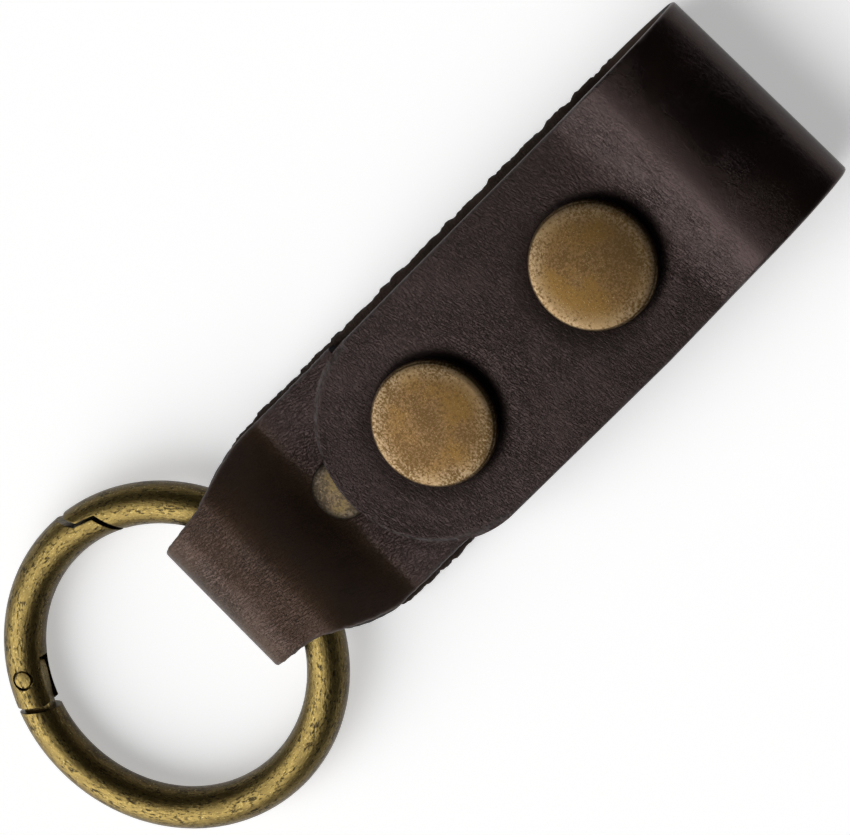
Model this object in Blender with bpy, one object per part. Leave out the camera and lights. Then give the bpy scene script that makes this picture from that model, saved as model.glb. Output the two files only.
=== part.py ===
"""Leather belt-loop key holder with two snaps, a rivet and a spring gate ring.

Metres, +Z up. The strap lies along Y with its belt-loop fold at -Y and the ring at +Y, and the
origin is at the middle of the object's base. Lengths along the strap are given from the outside
of the belt-loop fold.
"""

import math

import bmesh
import bpy
from mathutils import Vector

MM = 0.001

# Leather strap
LEATHER = 2.3 * MM
FLAP_HALF_WIDTH = 13.8 * MM
BACK_HALF_WIDTH = 13.85 * MM
TAIL_HALF_WIDTH = 13.35 * MM
NECK_INSET_CURVE = 3.0 * MM
NECK_INSET_TAPER = 1.3 * MM
FLAP_X = -1.9 * MM
BACK_X = -0.8 * MM
NECK_X = 0.0 * MM
PIECE_GAP = 0.3 * MM
SEAT_GAP = 0.15 * MM

# Places along the strap, from the outside of the belt-loop fold
LOOP_MIDDLE = 11.0 * MM
LOOP_FLAT = 19.5 * MM
SNAP_LOOP = 26.2 * MM
BEND_START = 33.0 * MM
BEND_LENGTH = 11.0 * MM
SNAP_END = 52.5 * MM
TAIL_END = 57.2 * MM
RIVET = 67.9 * MM
FLAP_TIP = 67.5 * MM
FLAP_ROUND = 13.3 * MM
SETTLE_START = 69.5 * MM
SETTLE_LENGTH = 5.15 * MM
TAIL_RISE = 71.6 * MM
NECK_START = 72.5 * MM
WRAP_START = 74.6 * MM
TAIL_CREST = 79.4 * MM
NECK_CURVE_END = 81.5 * MM
WRAP_CENTRE = 82.96 * MM

# Heights
STRAP_SLOPE = math.radians(4.0)
SNAP_STACK = 3.5 * MM
TIP_LIFT = 0.3 * MM
LOOP_HEIGHT = 12.75 * MM
WRAP_CAVITY_RADIUS = 3.4 * MM

# Flap hinge line, at the inner side of the belt-loop fold
FLAP_PIVOT = 2.6 * MM

# Snaps and rivet
SNAP_X = -2.05 * MM
RIVET_X = 0.1 * MM
HOLE_RADIUS = 1.6 * MM
RIVET_RADIUS = 3.65 * MM
RIVET_HOLE_RADIUS = 1.7 * MM
TAIL_RELIEF_RADIUS = 6.7 * MM

# Ring
RING_RADIUS = 18.75 * MM
WIRE_RADIUS = 2.5 * MM
SWING_OFFSET = 1.5 * MM
SWING_HEIGHT = 5.2 * MM
RING_CENTRE = 98.05 * MM
HINGE_ANGLE = math.radians(55.6)
BODY_SPAN = (math.radians(58), math.radians(352))
GATE_SPAN = (math.radians(-27), math.radians(72))
SEAM_GATE = 3.5 * MM
SEAM_BODY = 4.15 * MM
KNUCKLE_RADIUS = 4.0 * MM
SLOT_HALF = 1.25 * MM
TONGUE_HALF = 0.95 * MM
SLOT_END = -2.3 * MM
SLOT_DEPTH = 1.45 * MM
CUT_HALF = 4 * MM
PIN_RADIUS = 0.75 * MM
PIN_CLEARANCE = 0.1 * MM
PIN_HEAD_RADIUS = 1.05 * MM
HEAD_SEAT_RADIUS = 1.25 * MM
HEAD_SEAT_HEIGHT = 1.6 * MM
BORE_RADIUS = 1.1 * MM
BORE_START = (-2.3 * MM, -1.0 * MM)
BORE_END = (-10.5 * MM, -2.7 * MM)
LATCH_GAP = (0.15 * MM, -0.40 * MM)
LATCH_LINE = ((24.0, 0.4), (21.0, -1.8), (18.9, -3.35), (18.05, -5.85), (15.0, -6.7), (12.0, -7.55))
SPRING_TURNS = 8
SPRING_COIL_RADIUS = 0.78 * MM
SPRING_COIL_WIRE = 0.15 * MM
SPRING_SEAT = 1.75 * MM
SPRING_END_ROOM = 0.45 * MM

SWING_AXIS = RING_CENTRE - RING_RADIUS + SWING_OFFSET
RING_TILT = math.asin((SWING_HEIGHT - WIRE_RADIUS) / (2 * RING_RADIUS - SWING_OFFSET))
LENGTH = SWING_AXIS + (2 * RING_RADIUS - SWING_OFFSET) * math.cos(RING_TILT) + WIRE_RADIUS
ORIGIN = LENGTH / 2
SLOPE = math.tan(STRAP_SLOPE)
SLOPE_DROP = SLOPE * (SETTLE_START - BEND_START - BEND_LENGTH / 2 + SETTLE_LENGTH / 2)
SNAP_BACK = LEATHER / 2 + SLOPE_DROP
SNAP_FLAP = SNAP_BACK + LEATHER + SNAP_STACK
LOOP_CENTRE_Z = LOOP_HEIGHT / 2
WRAP_MID_RADIUS = WRAP_CAVITY_RADIUS + LEATHER / 2
WRAP_CENTRE_Z = WRAP_CAVITY_RADIUS + LEATHER

TURN_STEPS = 24
TUBE_SIDES = 16
RING_STEP = math.radians(5.0)


def clear_scene():
    for item in list(bpy.data.objects):
        bpy.data.objects.remove(item, do_unlink=True)


def material(name, colour, roughness, metallic):
    made = bpy.data.materials.new(name)
    made.use_nodes = True
    shader = made.node_tree.nodes["Principled BSDF"]
    shader.inputs["Base Color"].default_value = (*colour, 1.0)
    shader.inputs["Roughness"].default_value = roughness
    shader.inputs["Metallic"].default_value = metallic
    return made


def add_object(name, mesh, finish=None):
    made = bpy.data.objects.new(name, mesh)
    bpy.context.scene.collection.objects.link(made)
    if finish is not None:
        mesh.materials.append(finish)
    return made


def mesh_from(name, shape):
    bmesh.ops.recalc_face_normals(shape, faces=shape.faces)
    mesh = bpy.data.meshes.new(name)
    shape.to_mesh(mesh)
    shape.free()
    mesh.shade_smooth()
    mesh.set_sharp_from_angle(angle=math.radians(35))
    return mesh


def axis_empty(name, place, tilt=0.0, parent=None):
    made = add_object(name, None)
    made.empty_display_size = 5 * MM
    made.location = place
    made.rotation_euler = (tilt, 0.0, 0.0)
    made.parent = parent
    return made


def hang_on(piece, axis):
    """Parents a piece modelled in the strap's own place to an unturned empty on its joint axis."""
    piece.parent = axis
    piece.location = Vector(piece.location) - Vector(axis.location)


def cutter_of(piece):
    piece.hide_render = True
    piece.display_type = "WIRE"
    return piece


def boolean(piece, other, operation="DIFFERENCE"):
    change = piece.modifiers.new(other.name, "BOOLEAN")
    change.operation = operation
    change.object = cutter_of(other)
    change.solver = "EXACT"


# Side profile of the strap


def smooth(low, high, share):
    share = min(1.0, max(0.0, share))
    return low + (high - low) * (1 - math.cos(math.pi * share)) / 2


def slope_drop(y):
    """How far the strap has come down at y from its level stretch at the loop snap."""
    bend = min(1.0, max(0.0, (y - BEND_START) / BEND_LENGTH))
    straight = max(0.0, min(y, SETTLE_START) - BEND_START - BEND_LENGTH)
    settle = min(1.0, max(0.0, (y - SETTLE_START) / SETTLE_LENGTH))
    return SLOPE * (BEND_LENGTH * bend**2 / 2 + straight + SETTLE_LENGTH * (settle - settle**2 / 2))


def back_height(y):
    if y < LOOP_FLAT:
        return smooth(LEATHER / 2, SNAP_BACK, (y - LOOP_MIDDLE) / (LOOP_FLAT - LOOP_MIDDLE))
    return SNAP_BACK - slope_drop(y)


def flap_height(y):
    if y < LOOP_FLAT:
        crest = LOOP_HEIGHT - LEATHER / 2
        return smooth(crest, SNAP_FLAP, (y - LOOP_MIDDLE) / (LOOP_FLAT - LOOP_MIDDLE))
    lift = smooth(0.0, TIP_LIFT, (y - SNAP_END - 7 * MM) / (FLAP_TIP - SNAP_END - 7 * MM))
    return SNAP_FLAP - slope_drop(y) + lift


def tail_height(y):
    flat = back_height(min(y, TAIL_RISE)) + LEATHER + PIECE_GAP
    crest = WRAP_CENTRE_Z + WRAP_MID_RADIUS
    return smooth(flat, crest, (y - TAIL_RISE) / (TAIL_CREST - TAIL_RISE))


def spread(first, last, step):
    count = max(1, round(abs(last - first) / step))
    return [first + (last - first) * i / count for i in range(count + 1)]


def neck_inset(y):
    curve = smooth(0.0, NECK_INSET_CURVE, (y - NECK_START) / (NECK_CURVE_END - NECK_START))
    taper_from = NECK_CURVE_END - 3 * MM
    taper = (y - taper_from) / (WRAP_CENTRE + WRAP_MID_RADIUS - taper_from)
    return curve + NECK_INSET_TAPER * min(1.0, max(0.0, taper))


def neck_shift(y):
    return smooth(BACK_X, NECK_X, (y - NECK_START) / (WRAP_CENTRE - NECK_START))


# A station is (y, z, x centre, half width)


def flap_stations():
    stations = []
    for turn in spread(math.radians(84), 0.0, math.radians(8)):
        y = FLAP_TIP - FLAP_ROUND + FLAP_ROUND * math.sin(turn)
        stations.append((y, flap_height(y), FLAP_X, FLAP_HALF_WIDTH * math.cos(turn)))
    for y in spread(FLAP_TIP - FLAP_ROUND, LOOP_FLAT, 3 * MM)[1:]:
        stations.append((y, flap_height(y), FLAP_X, FLAP_HALF_WIDTH))
    for y in spread(LOOP_FLAT, LOOP_MIDDLE + PIECE_GAP / 2, 1.2 * MM)[1:]:
        stations.append((y, flap_height(y), FLAP_X, FLAP_HALF_WIDTH))
    return stations


def loop_stations():
    across = LOOP_MIDDLE - LEATHER / 2
    up = LOOP_CENTRE_Z - LEATHER / 2
    stations = []
    for turn in spread(math.radians(91), math.radians(269), math.radians(9)):
        y = LOOP_MIDDLE + across * math.cos(turn)
        z = LOOP_CENTRE_Z + up * math.sin(turn)
        share = (math.degrees(turn) - 90) / 90
        half = smooth(FLAP_HALF_WIDTH, BACK_HALF_WIDTH, share)
        stations.append((y, z, smooth(FLAP_X, BACK_X, share), half))
    return stations


def back_stations():
    bend = spread(LOOP_MIDDLE + PIECE_GAP / 2, LOOP_FLAT, 1.2 * MM)
    rest = spread(LOOP_FLAT, WRAP_START - PIECE_GAP, 3 * MM)[1:]
    return [
        (y, back_height(y), neck_shift(y), BACK_HALF_WIDTH - neck_inset(y)) for y in bend + rest
    ]


def wrap_stations():
    stations = []
    for y in spread(WRAP_START, WRAP_CENTRE, 2 * MM):
        stations.append((y, back_height(y), neck_shift(y), BACK_HALF_WIDTH - neck_inset(y)))
    for turn in spread(math.radians(-90), math.radians(90), math.radians(15))[1:-1]:
        y = WRAP_CENTRE + WRAP_MID_RADIUS * math.cos(turn)
        z = WRAP_CENTRE_Z + WRAP_MID_RADIUS * math.sin(turn)
        stations.append((y, z, neck_shift(y), BACK_HALF_WIDTH - neck_inset(y)))
    for y in spread(WRAP_CENTRE, TAIL_RISE, 1 * MM) + spread(TAIL_RISE, TAIL_END, 3 * MM)[1:]:
        stations.append((y, tail_height(y), neck_shift(y), TAIL_HALF_WIDTH - neck_inset(y)))
    return stations


def strap_piece(name, stations, finish):
    """A leather strip of even thickness whose middle line runs through the stations."""
    shape = bmesh.new()
    rings = []
    for index, (y, z, centre, half) in enumerate(stations):
        before = stations[max(0, index - 1)]
        after = stations[min(len(stations) - 1, index + 1)]
        along = Vector((0.0, after[0] - before[0], after[1] - before[1])).normalized()
        across = Vector((0.0, -along.z, along.y)) * (LEATHER / 2)
        middle = Vector((centre, y - ORIGIN, z))
        side = Vector((half, 0.0, 0.0))
        corners = (
            middle - side - across,
            middle + side - across,
            middle + side + across,
            middle - side + across,
        )
        rings.append([shape.verts.new(corner) for corner in corners])
    for one, two in zip(rings, rings[1:]):
        for side in range(4):
            following = (side + 1) % 4
            shape.faces.new((one[side], one[following], two[following], two[side]))
    shape.faces.new(rings[0])
    shape.faces.new(rings[-1])
    return add_object(name, mesh_from(name, shape), finish)


# Turned pieces, profiles in millimetres as (radius, height)


def turned(name, profile, finish=None, steps=TURN_STEPS, sweep=2 * math.pi):
    shape = bmesh.new()
    corners = [shape.verts.new((r * MM, 0.0, z * MM)) for r, z in profile]
    touching = profile[0][0] == 0 and profile[-1][0] == 0
    ends = corners if touching else corners + corners[:1]
    edges = [shape.edges.new(pair) for pair in zip(ends, ends[1:])]
    if sweep < 2 * math.pi:
        shape.faces.new(corners)
    geometry = corners + edges + list(shape.faces)
    bmesh.ops.spin(
        shape,
        geom=geometry,
        cent=(0, 0, 0),
        axis=(0, 0, 1),
        angle=sweep,
        steps=steps,
        use_duplicate=False,
    )
    bmesh.ops.remove_doubles(shape, verts=shape.verts, dist=0.002 * MM)
    return add_object(name, mesh_from(name, shape), finish)


def arc_points(centre, radius, first, last, count):
    """Points on an arc in millimetres, angles in degrees."""
    turns = [math.radians(first + (last - first) * i / count) for i in range(count + 1)]
    return [(centre[0] + radius * math.cos(a), centre[1] + radius * math.sin(a)) for a in turns]


def cap_profile():
    top = SNAP_STACK / MM + LEATHER / MM
    crown = [(r, top + 2.3 - 0.9 * (r / 6.5) ** 2) for r in (0, 2.2, 4.4)]
    shoulder = arc_points((6.4, top + 0.45), 1.1, 75, 0, 4)
    rim = [(7.5, top + 0.15), (6.7, top + 0.15), (6.7, top + 0.6), (2.4, top + 0.6)]
    barrel = [(2.4, top + 0.15), (1.4, top + 0.15), (1.4, 2.7), (2.3, 2.7), (2.3, 2.45)]
    bore = [(0.95, 2.45), (0.95, top + 0.2), (0, top + 0.2)]
    return crown + shoulder + rim + barrel + bore


SOCKET_PROFILE = (
    (1.6, 3.35), (6.1, 3.35), (6.35, 3.1), (6.35, 1.3), (6.05, 1.0), (3.5, 1.0), (3.5, 1.25),
    (4.1, 1.25), (4.1, 1.85), (3.5, 1.85), (3.5, 2.85), (1.6, 2.85),
)
STUD_PROFILE = (
    (1.6, 0.15), (6.0, 0.15), (6.0, 0.6), (2.95, 0.6), (2.95, 1.5), (3.3, 1.85), (3.3, 2.0),
    (3.05, 2.15), (1.9, 2.15), (1.9, 1.95), (2.6, 1.75), (2.6, 0.75), (1.6, 0.75),
)
POST_PROFILE = (
    (0, -3.05), (4.5, -3.05), (4.8, -2.85), (4.8, -2.45), (1.4, -2.45), (1.4, 0.9), (2.3, 0.9),
    (2.3, 1.15), (0.95, 1.15), (0.95, -2.2), (0, -2.2),
)
RIVET_POST_PROFILE = (
    (0, -0.2), (3.4, -0.2), (3.65, -0.05), (3.65, 0.3), (1.0, 0.3), (1.0, 5.2), (0, 5.2),
)
RIVET_CAP_PROFILE = (
    (0, 5.8), (1.3, 5.75), (2.4, 5.6), (3.2, 5.35), (3.6, 5.15), (3.6, 5.0), (1.5, 5.0),
    (1.5, 1.2), (1.15, 1.2), (1.15, 5.35), (0, 5.35),
)
SPRING_RING_RADIUS = 3.45
SPRING_WIRE_RADIUS = 0.25
SPRING_RING_HEIGHT = 1.55


def place(piece, y, height, x, tilt=0.0):
    piece.location = (x, y - ORIGIN, height)
    piece.rotation_euler = (-tilt, 0.0, 0.0)


def snap(name, y, tilt, brass, dark, steel, flap_axis):
    """One snap fastener, its local zero on the upper face of the back layer."""
    base = back_height(y) + LEATHER / 2
    wire = arc_points((SPRING_RING_RADIUS, SPRING_RING_HEIGHT), SPRING_WIRE_RADIUS, 0, 315, 7)
    upper = [
        turned(f"snap_cap_{name}", cap_profile(), brass),
        turned(f"snap_socket_{name}", SOCKET_PROFILE, dark),
        turned(f"snap_spring_{name}", wire, steel, 22, math.radians(330)),
    ]
    lower = [
        turned(f"snap_stud_{name}", STUD_PROFILE, dark),
        turned(f"snap_post_{name}", POST_PROFILE, brass),
    ]
    for piece in upper + lower:
        place(piece, y, base, SNAP_X, tilt)
    for piece in upper:
        hang_on(piece, flap_axis)


def hole(name, y, height, x, tilt, radius, depth):
    """A round punch through the leather, standing on the strap's slope."""
    low, high = depth
    punch = turned(name, ((0, low), (radius / MM, low), (radius / MM, high), (0, high)))
    place(punch, y, height, x, tilt)
    return punch


def leather_pieces(leather, flap_axis):
    back = strap_piece("strap_back", back_stations(), leather)
    strap_piece("belt_loop_fold", loop_stations(), leather)
    flap = strap_piece("front_flap", flap_stations(), leather)
    wrap = strap_piece("ring_wrap", wrap_stations(), leather)
    for name, y, tilt in (("loop", SNAP_LOOP, 0.0), ("end", SNAP_END, STRAP_SLOPE)):
        base = back_height(y) + LEATHER / 2
        boolean(back, hole(f"punch_back_{name}", y, base, SNAP_X, tilt, HOLE_RADIUS, (-4, 1)))
        punch = hole(f"punch_flap_{name}", y, base, SNAP_X, tilt, HOLE_RADIUS, (2.5, 7.5))
        boolean(flap, punch)
    under = back_height(RIVET) - LEATHER / 2
    for piece, label in ((back, "back"), (wrap, "tail")):
        span = (-1, 2.45) if label == "back" else (2.45, 6)
        name = f"punch_rivet_{label}"
        boolean(piece, hole(name, RIVET, under, RIVET_X, STRAP_SLOPE, RIVET_HOLE_RADIUS, span))
    recess_radius = RIVET_RADIUS + SEAT_GAP
    recess = hole("rivet_recess", RIVET, under, RIVET_X, STRAP_SLOPE, recess_radius, (-1, 0.45))
    boolean(back, recess)
    base = back_height(SNAP_END) + LEATHER / 2
    relief_span = (-0.5, 4)
    boolean(
        wrap,
        hole("tail_relief", SNAP_END, base, SNAP_X, STRAP_SLOPE, TAIL_RELIEF_RADIUS, relief_span),
    )
    hang_on(flap, flap_axis)


def rivet(brass, dark):
    under = back_height(RIVET) - LEATHER / 2
    for piece in (
        turned("rivet_cap", RIVET_CAP_PROFILE, brass),
        turned("rivet_post", RIVET_POST_PROFILE, dark),
    ):
        place(piece, RIVET, under, RIVET_X, STRAP_SLOPE)


# The ring is modelled flat about its own centre, then hung on its swing axis


def hinge_xy(along, outward):
    """Ring-plane point from distances along the wire (away from the gate) and outward, at the pin."""
    sine, cosine = math.sin(HINGE_ANGLE), math.cos(HINGE_ANGLE)
    x = RING_RADIUS * cosine - along * sine + outward * cosine
    y = RING_RADIUS * sine + along * cosine + outward * sine
    return x, y


def wire_arc(name, first, last, finish):
    """Round wire bent along the ring, between two angles, with flat ends."""
    shape = bmesh.new()
    angles = [first]
    step = math.ceil((first + 1e-6) / RING_STEP) * RING_STEP
    while step < last - 1e-6:
        angles.append(step)
        step += RING_STEP
    angles.append(last)
    sections = []
    for angle in angles:
        section = []
        for side in range(TUBE_SIDES):
            turn = 2 * math.pi * side / TUBE_SIDES
            radius = RING_RADIUS + WIRE_RADIUS * math.cos(turn)
            height = WIRE_RADIUS * math.sin(turn)
            point = (radius * math.cos(angle), radius * math.sin(angle), height)
            section.append(shape.verts.new(point))
        sections.append(section)
    for one, two in zip(sections, sections[1:]):
        bmesh.ops.bridge_loops(shape, edges=closed_edges(shape, one) + closed_edges(shape, two))
    shape.faces.new(sections[0])
    shape.faces.new(sections[-1])
    return add_object(name, mesh_from(name, shape), finish)


def closed_edges(shape, section):
    pairs = zip(section, section[1:] + section[:1])
    return [shape.edges.get(pair) or shape.edges.new(pair) for pair in pairs]


def prism(name, outline, low, high, finish=None):
    """A flat outline in the ring's plane, raised from low to high."""
    shape = bmesh.new()
    face = shape.faces.new([shape.verts.new((x, y, low)) for x, y in outline])
    raised = bmesh.ops.extrude_face_region(shape, geom=[face])["geom"]
    moved = [item for item in raised if isinstance(item, bmesh.types.BMVert)]
    bmesh.ops.translate(shape, verts=moved, vec=(0.0, 0.0, high - low))
    return add_object(name, mesh_from(name, shape), finish)


def latch_cutter(name, shift, side):
    """The part of the ring's plane beyond the hooked seam, on the gate's side or the body's."""
    line = [(x * MM + shift[0], y * MM + shift[1]) for x, y in LATCH_LINE]
    reach = 14 * MM * side
    far = [(line[-1][0], line[-1][1] + reach), (line[0][0], line[0][1] + reach)]
    return prism(name, line + far, -CUT_HALF, CUT_HALF)


def knuckle_cutter():
    """All that lies beyond the gate's rounded hinge end."""
    corner = -math.degrees(math.acos(SEAM_GATE / KNUCKLE_RADIUS))
    arc = arc_points((0, 0), KNUCKLE_RADIUS / MM, corner, -62, 5)
    local = [(SEAM_GATE / MM, 5.0)] + arc + [(arc[-1][0], -6.0), (10.0, -6.0), (10.0, 5.0)]
    outline = [hinge_xy(t * MM, n * MM) for t, n in local]
    return prism("knuckle_cutter", outline, -CUT_HALF, CUT_HALF)


def tongue():
    """The body's hinge tongue, which reaches over the pin into the gate's fork."""
    tip = [(-1.78, -1.45), (-1.98, -0.5), (-1.6, 0.45), (-1.15, 1.0), (-0.4, 1.3)]
    local = [(5.2, 1.2), (5.2, -2.0), (-0.7, -2.0), (-1.3, -1.9)] + tip
    outline = [hinge_xy(t * MM, n * MM) for t, n in local]
    return prism("tongue", outline, -TONGUE_HALF, TONGUE_HALF)


def pin_cylinder(name, radius, low, high):
    outline = ((0, low), (radius, low), (radius, high), (0, high))
    made = turned(name, [(r / MM, z / MM) for r, z in outline])
    x, y = hinge_xy(0.0, 0.0)
    made.location = (x, y, 0.0)
    return made


def bore_place(distance):
    """Point at a distance down the spring bore from its start, and the bore's direction."""
    start = Vector(hinge_xy(*BORE_START))
    end = Vector(hinge_xy(*BORE_END))
    down = (end - start).normalized()
    point = start + down * distance
    return Vector((point.x, point.y, 0.0)), Vector((down.x, down.y, 0.0))


def along_bore(piece, distance):
    """Turns a piece that stands on local Z so that it lies down the bore from a distance."""
    point, down = bore_place(distance)
    piece.rotation_mode = "QUATERNION"
    piece.rotation_quaternion = down.to_track_quat("Z", "Y")
    piece.location = point


def bore_length():
    return (Vector(hinge_xy(*BORE_END)) - Vector(hinge_xy(*BORE_START))).length


def ring_body(finish):
    body = wire_arc("ring_body", *BODY_SPAN, finish)
    reach = 6 * MM
    seam = [(SEAM_BODY, reach), (SEAM_BODY, -reach), (-reach, -reach), (-reach, reach)]
    gate_side = latch_cutter("latch_cutter_body", LATCH_GAP, 1)
    seam_outline = [hinge_xy(t, n) for t, n in seam]
    seam_cutter = prism("seam_cutter", seam_outline, -CUT_HALF, CUT_HALF)
    made_tongue = tongue()
    hole_cutter = pin_cylinder("tongue_hole", PIN_RADIUS + PIN_CLEARANCE, -CUT_HALF, CUT_HALF)
    boolean(body, gate_side)
    boolean(body, seam_cutter)
    boolean(body, made_tongue, "UNION")
    boolean(body, hole_cutter)
    return [body, gate_side, seam_cutter, made_tongue, hole_cutter]


def gate_pieces(finish, steel):
    gate = wire_arc("gate", *GATE_SPAN, finish)
    inside, beyond = -6 * MM, 9 * MM
    slot = ((SLOT_END, inside), (SLOT_END, SLOT_DEPTH), (beyond, SLOT_DEPTH), (beyond, inside))
    slot_outline = [hinge_xy(t, n) for t, n in slot]
    radius, depth = BORE_RADIUS / MM, bore_length() / MM
    bore = turned("spring_bore", ((0, -1), (radius, -1), (radius, depth), (0, depth)))
    along_bore(bore, 0.0)
    cutters = [
        latch_cutter("latch_cutter_gate", (0.0, 0.0), -1),
        knuckle_cutter(),
        prism("fork_slot", slot_outline, -SLOT_HALF, SLOT_HALF),
        pin_cylinder("cheek_hole", PIN_RADIUS + PIN_CLEARANCE, -CUT_HALF, CUT_HALF),
        pin_cylinder("head_seat_top", HEAD_SEAT_RADIUS, HEAD_SEAT_HEIGHT, CUT_HALF),
        pin_cylinder("head_seat_bottom", HEAD_SEAT_RADIUS, -CUT_HALF, -HEAD_SEAT_HEIGHT),
        bore,
    ]
    for cutter in cutters:
        boolean(gate, cutter)
    return [gate, gate_spring(steel), spring_follower(steel)] + cutters


def gate_spring(finish):
    """A small coil spring lying in the gate's bore."""
    per_turn, sides = 12, 5
    last = SPRING_TURNS * per_turn
    length = bore_length() - SPRING_SEAT - SPRING_END_ROOM
    shape = bmesh.new()
    sections = []
    for step in range(last + 1):
        turn = 2 * math.pi * step / per_turn
        out = Vector((math.cos(turn), math.sin(turn), 0.0))
        rise = SPRING_SEAT + length * step / last
        centre = out * SPRING_COIL_RADIUS + Vector((0.0, 0.0, rise))
        section = []
        for side in range(sides):
            roll = 2 * math.pi * side / sides
            offset = out * math.cos(roll) + Vector((0.0, 0.0, math.sin(roll)))
            section.append(shape.verts.new(centre + offset * SPRING_COIL_WIRE))
        sections.append(section)
    for one, two in zip(sections, sections[1:]):
        for side in range(sides):
            following = (side + 1) % sides
            shape.faces.new((one[side], one[following], two[following], two[side]))
    shape.faces.new(sections[0])
    shape.faces.new(sections[-1])
    spring = add_object("gate_spring", mesh_from("gate_spring", shape), finish)
    along_bore(spring, 0.0)
    return spring


def spring_follower(finish):
    nose = [(0, -0.27), (0.5, -0.2), (0.85, 0.0), (0.95, 0.25)]
    profile = nose + [(0.95, 1.5), (0.5, 1.5), (0.5, 4.0), (0, 4.0)]
    follower = turned("spring_follower", profile, finish, 16)
    along_bore(follower, 0.0)
    return follower


def hinge_pin(finish):
    head = PIN_HEAD_RADIUS / MM
    shank = PIN_RADIUS / MM
    upper = [(shank, 1.7), (head, 1.7), (head, 2.25), (0.6, 2.4), (0, 2.42)]
    lower = [(0, -2.42), (0.6, -2.4), (head, -2.25), (head, -1.7), (shank, -1.7)]
    pin = turned("gate_hinge_pin", lower + upper, finish)
    x, y = hinge_xy(0.0, 0.0)
    pin.location = (x, y, 0.0)
    return pin


def hang_ring(body_pieces, gate_side, swing_axis):
    centre = Vector((0.0, RING_RADIUS - SWING_OFFSET, 0.0))
    for piece in body_pieces:
        piece.parent = swing_axis
        piece.location = Vector(piece.location) + centre
    pin = Vector((*hinge_xy(0.0, 0.0), 0.0))
    gate_axis = axis_empty("gate_axis", centre + pin, parent=swing_axis)
    for piece in gate_side:
        piece.parent = gate_axis
        piece.location = Vector(piece.location) - pin


def build():
    clear_scene()
    leather = material("brown_leather", (0.035, 0.022, 0.017), 0.55, 0.0)
    brass = material("antique_brass", (0.30, 0.21, 0.09), 0.42, 1.0)
    dark = material("dark_brass", (0.16, 0.12, 0.07), 0.5, 1.0)
    steel = material("spring_steel", (0.45, 0.45, 0.46), 0.35, 1.0)
    flap_axis = axis_empty("flap_axis", (0.0, FLAP_PIVOT - ORIGIN, LOOP_CENTRE_Z))
    leather_pieces(leather, flap_axis)
    snap("loop", SNAP_LOOP, 0.0, brass, dark, steel, flap_axis)
    snap("end", SNAP_END, STRAP_SLOPE, brass, dark, steel, flap_axis)
    rivet(brass, dark)
    swing_place = (0.0, SWING_AXIS - ORIGIN, SWING_HEIGHT)
    swing_axis = axis_empty("ring_swing_axis", swing_place, -RING_TILT)
    body_pieces = ring_body(brass) + [hinge_pin(dark)]
    hang_ring(body_pieces, gate_pieces(brass, steel), swing_axis)


build()
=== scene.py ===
import math

import bpy
from mathutils import Matrix, Vector, noise


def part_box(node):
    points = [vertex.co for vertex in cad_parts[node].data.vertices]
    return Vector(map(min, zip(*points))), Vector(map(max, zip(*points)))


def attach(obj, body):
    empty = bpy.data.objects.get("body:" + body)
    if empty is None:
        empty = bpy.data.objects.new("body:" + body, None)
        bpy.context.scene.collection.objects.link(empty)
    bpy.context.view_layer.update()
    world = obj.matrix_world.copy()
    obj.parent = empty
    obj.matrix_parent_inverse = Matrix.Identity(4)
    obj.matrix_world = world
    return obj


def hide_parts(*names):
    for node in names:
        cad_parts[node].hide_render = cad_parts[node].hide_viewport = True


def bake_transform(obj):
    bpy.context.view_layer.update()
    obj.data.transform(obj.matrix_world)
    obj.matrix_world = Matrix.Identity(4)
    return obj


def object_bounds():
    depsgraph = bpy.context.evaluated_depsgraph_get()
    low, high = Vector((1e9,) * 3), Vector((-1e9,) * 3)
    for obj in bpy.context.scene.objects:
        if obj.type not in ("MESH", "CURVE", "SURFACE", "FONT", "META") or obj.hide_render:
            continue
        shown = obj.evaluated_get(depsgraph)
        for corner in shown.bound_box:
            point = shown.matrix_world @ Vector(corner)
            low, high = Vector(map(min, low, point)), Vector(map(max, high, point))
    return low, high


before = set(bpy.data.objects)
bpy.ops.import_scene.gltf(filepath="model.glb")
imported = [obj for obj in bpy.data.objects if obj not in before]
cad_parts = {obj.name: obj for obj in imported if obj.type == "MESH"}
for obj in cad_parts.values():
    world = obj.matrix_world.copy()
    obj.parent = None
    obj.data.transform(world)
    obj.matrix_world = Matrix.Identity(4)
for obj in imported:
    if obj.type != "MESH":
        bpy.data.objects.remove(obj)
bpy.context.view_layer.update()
mm = 0.001
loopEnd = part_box("belt_loop_fold")[0].y  # distances along the strap start at the loop's outside


# Small helpers for working on meshes

def startFresh():
    bpy.ops.object.select_all(action="DESELECT")


def activate(piece):
    startFresh()
    piece.select_set(True)
    bpy.context.view_layer.objects.active = piece


def applyPlace(piece):
    activate(piece)
    bpy.ops.object.transform_apply(location=True, rotation=True, scale=True)


def applyModifier(piece, kind, **settings):
    activate(piece)
    change = piece.modifiers.new(kind.title(), kind)
    for key, value in settings.items():
        setattr(change, key, value)
    bpy.ops.object.modifier_apply(modifier=change.name)


def cutWith(piece, cutter, operation="DIFFERENCE"):
    applyModifier(piece, "BOOLEAN", operation=operation, object=cutter, solver="EXACT")
    bpy.data.objects.remove(cutter, do_unlink=True)


def softenEdges(piece, width, angle=40):
    settings = {"width": width, "segments": 2, "limit_method": "ANGLE"}
    applyModifier(piece, "BEVEL", angle_limit=math.radians(angle), **settings)


def smoothFaces(piece, angle=35):
    activate(piece)
    bpy.ops.object.shade_smooth_by_angle(angle=math.radians(angle))


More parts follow.
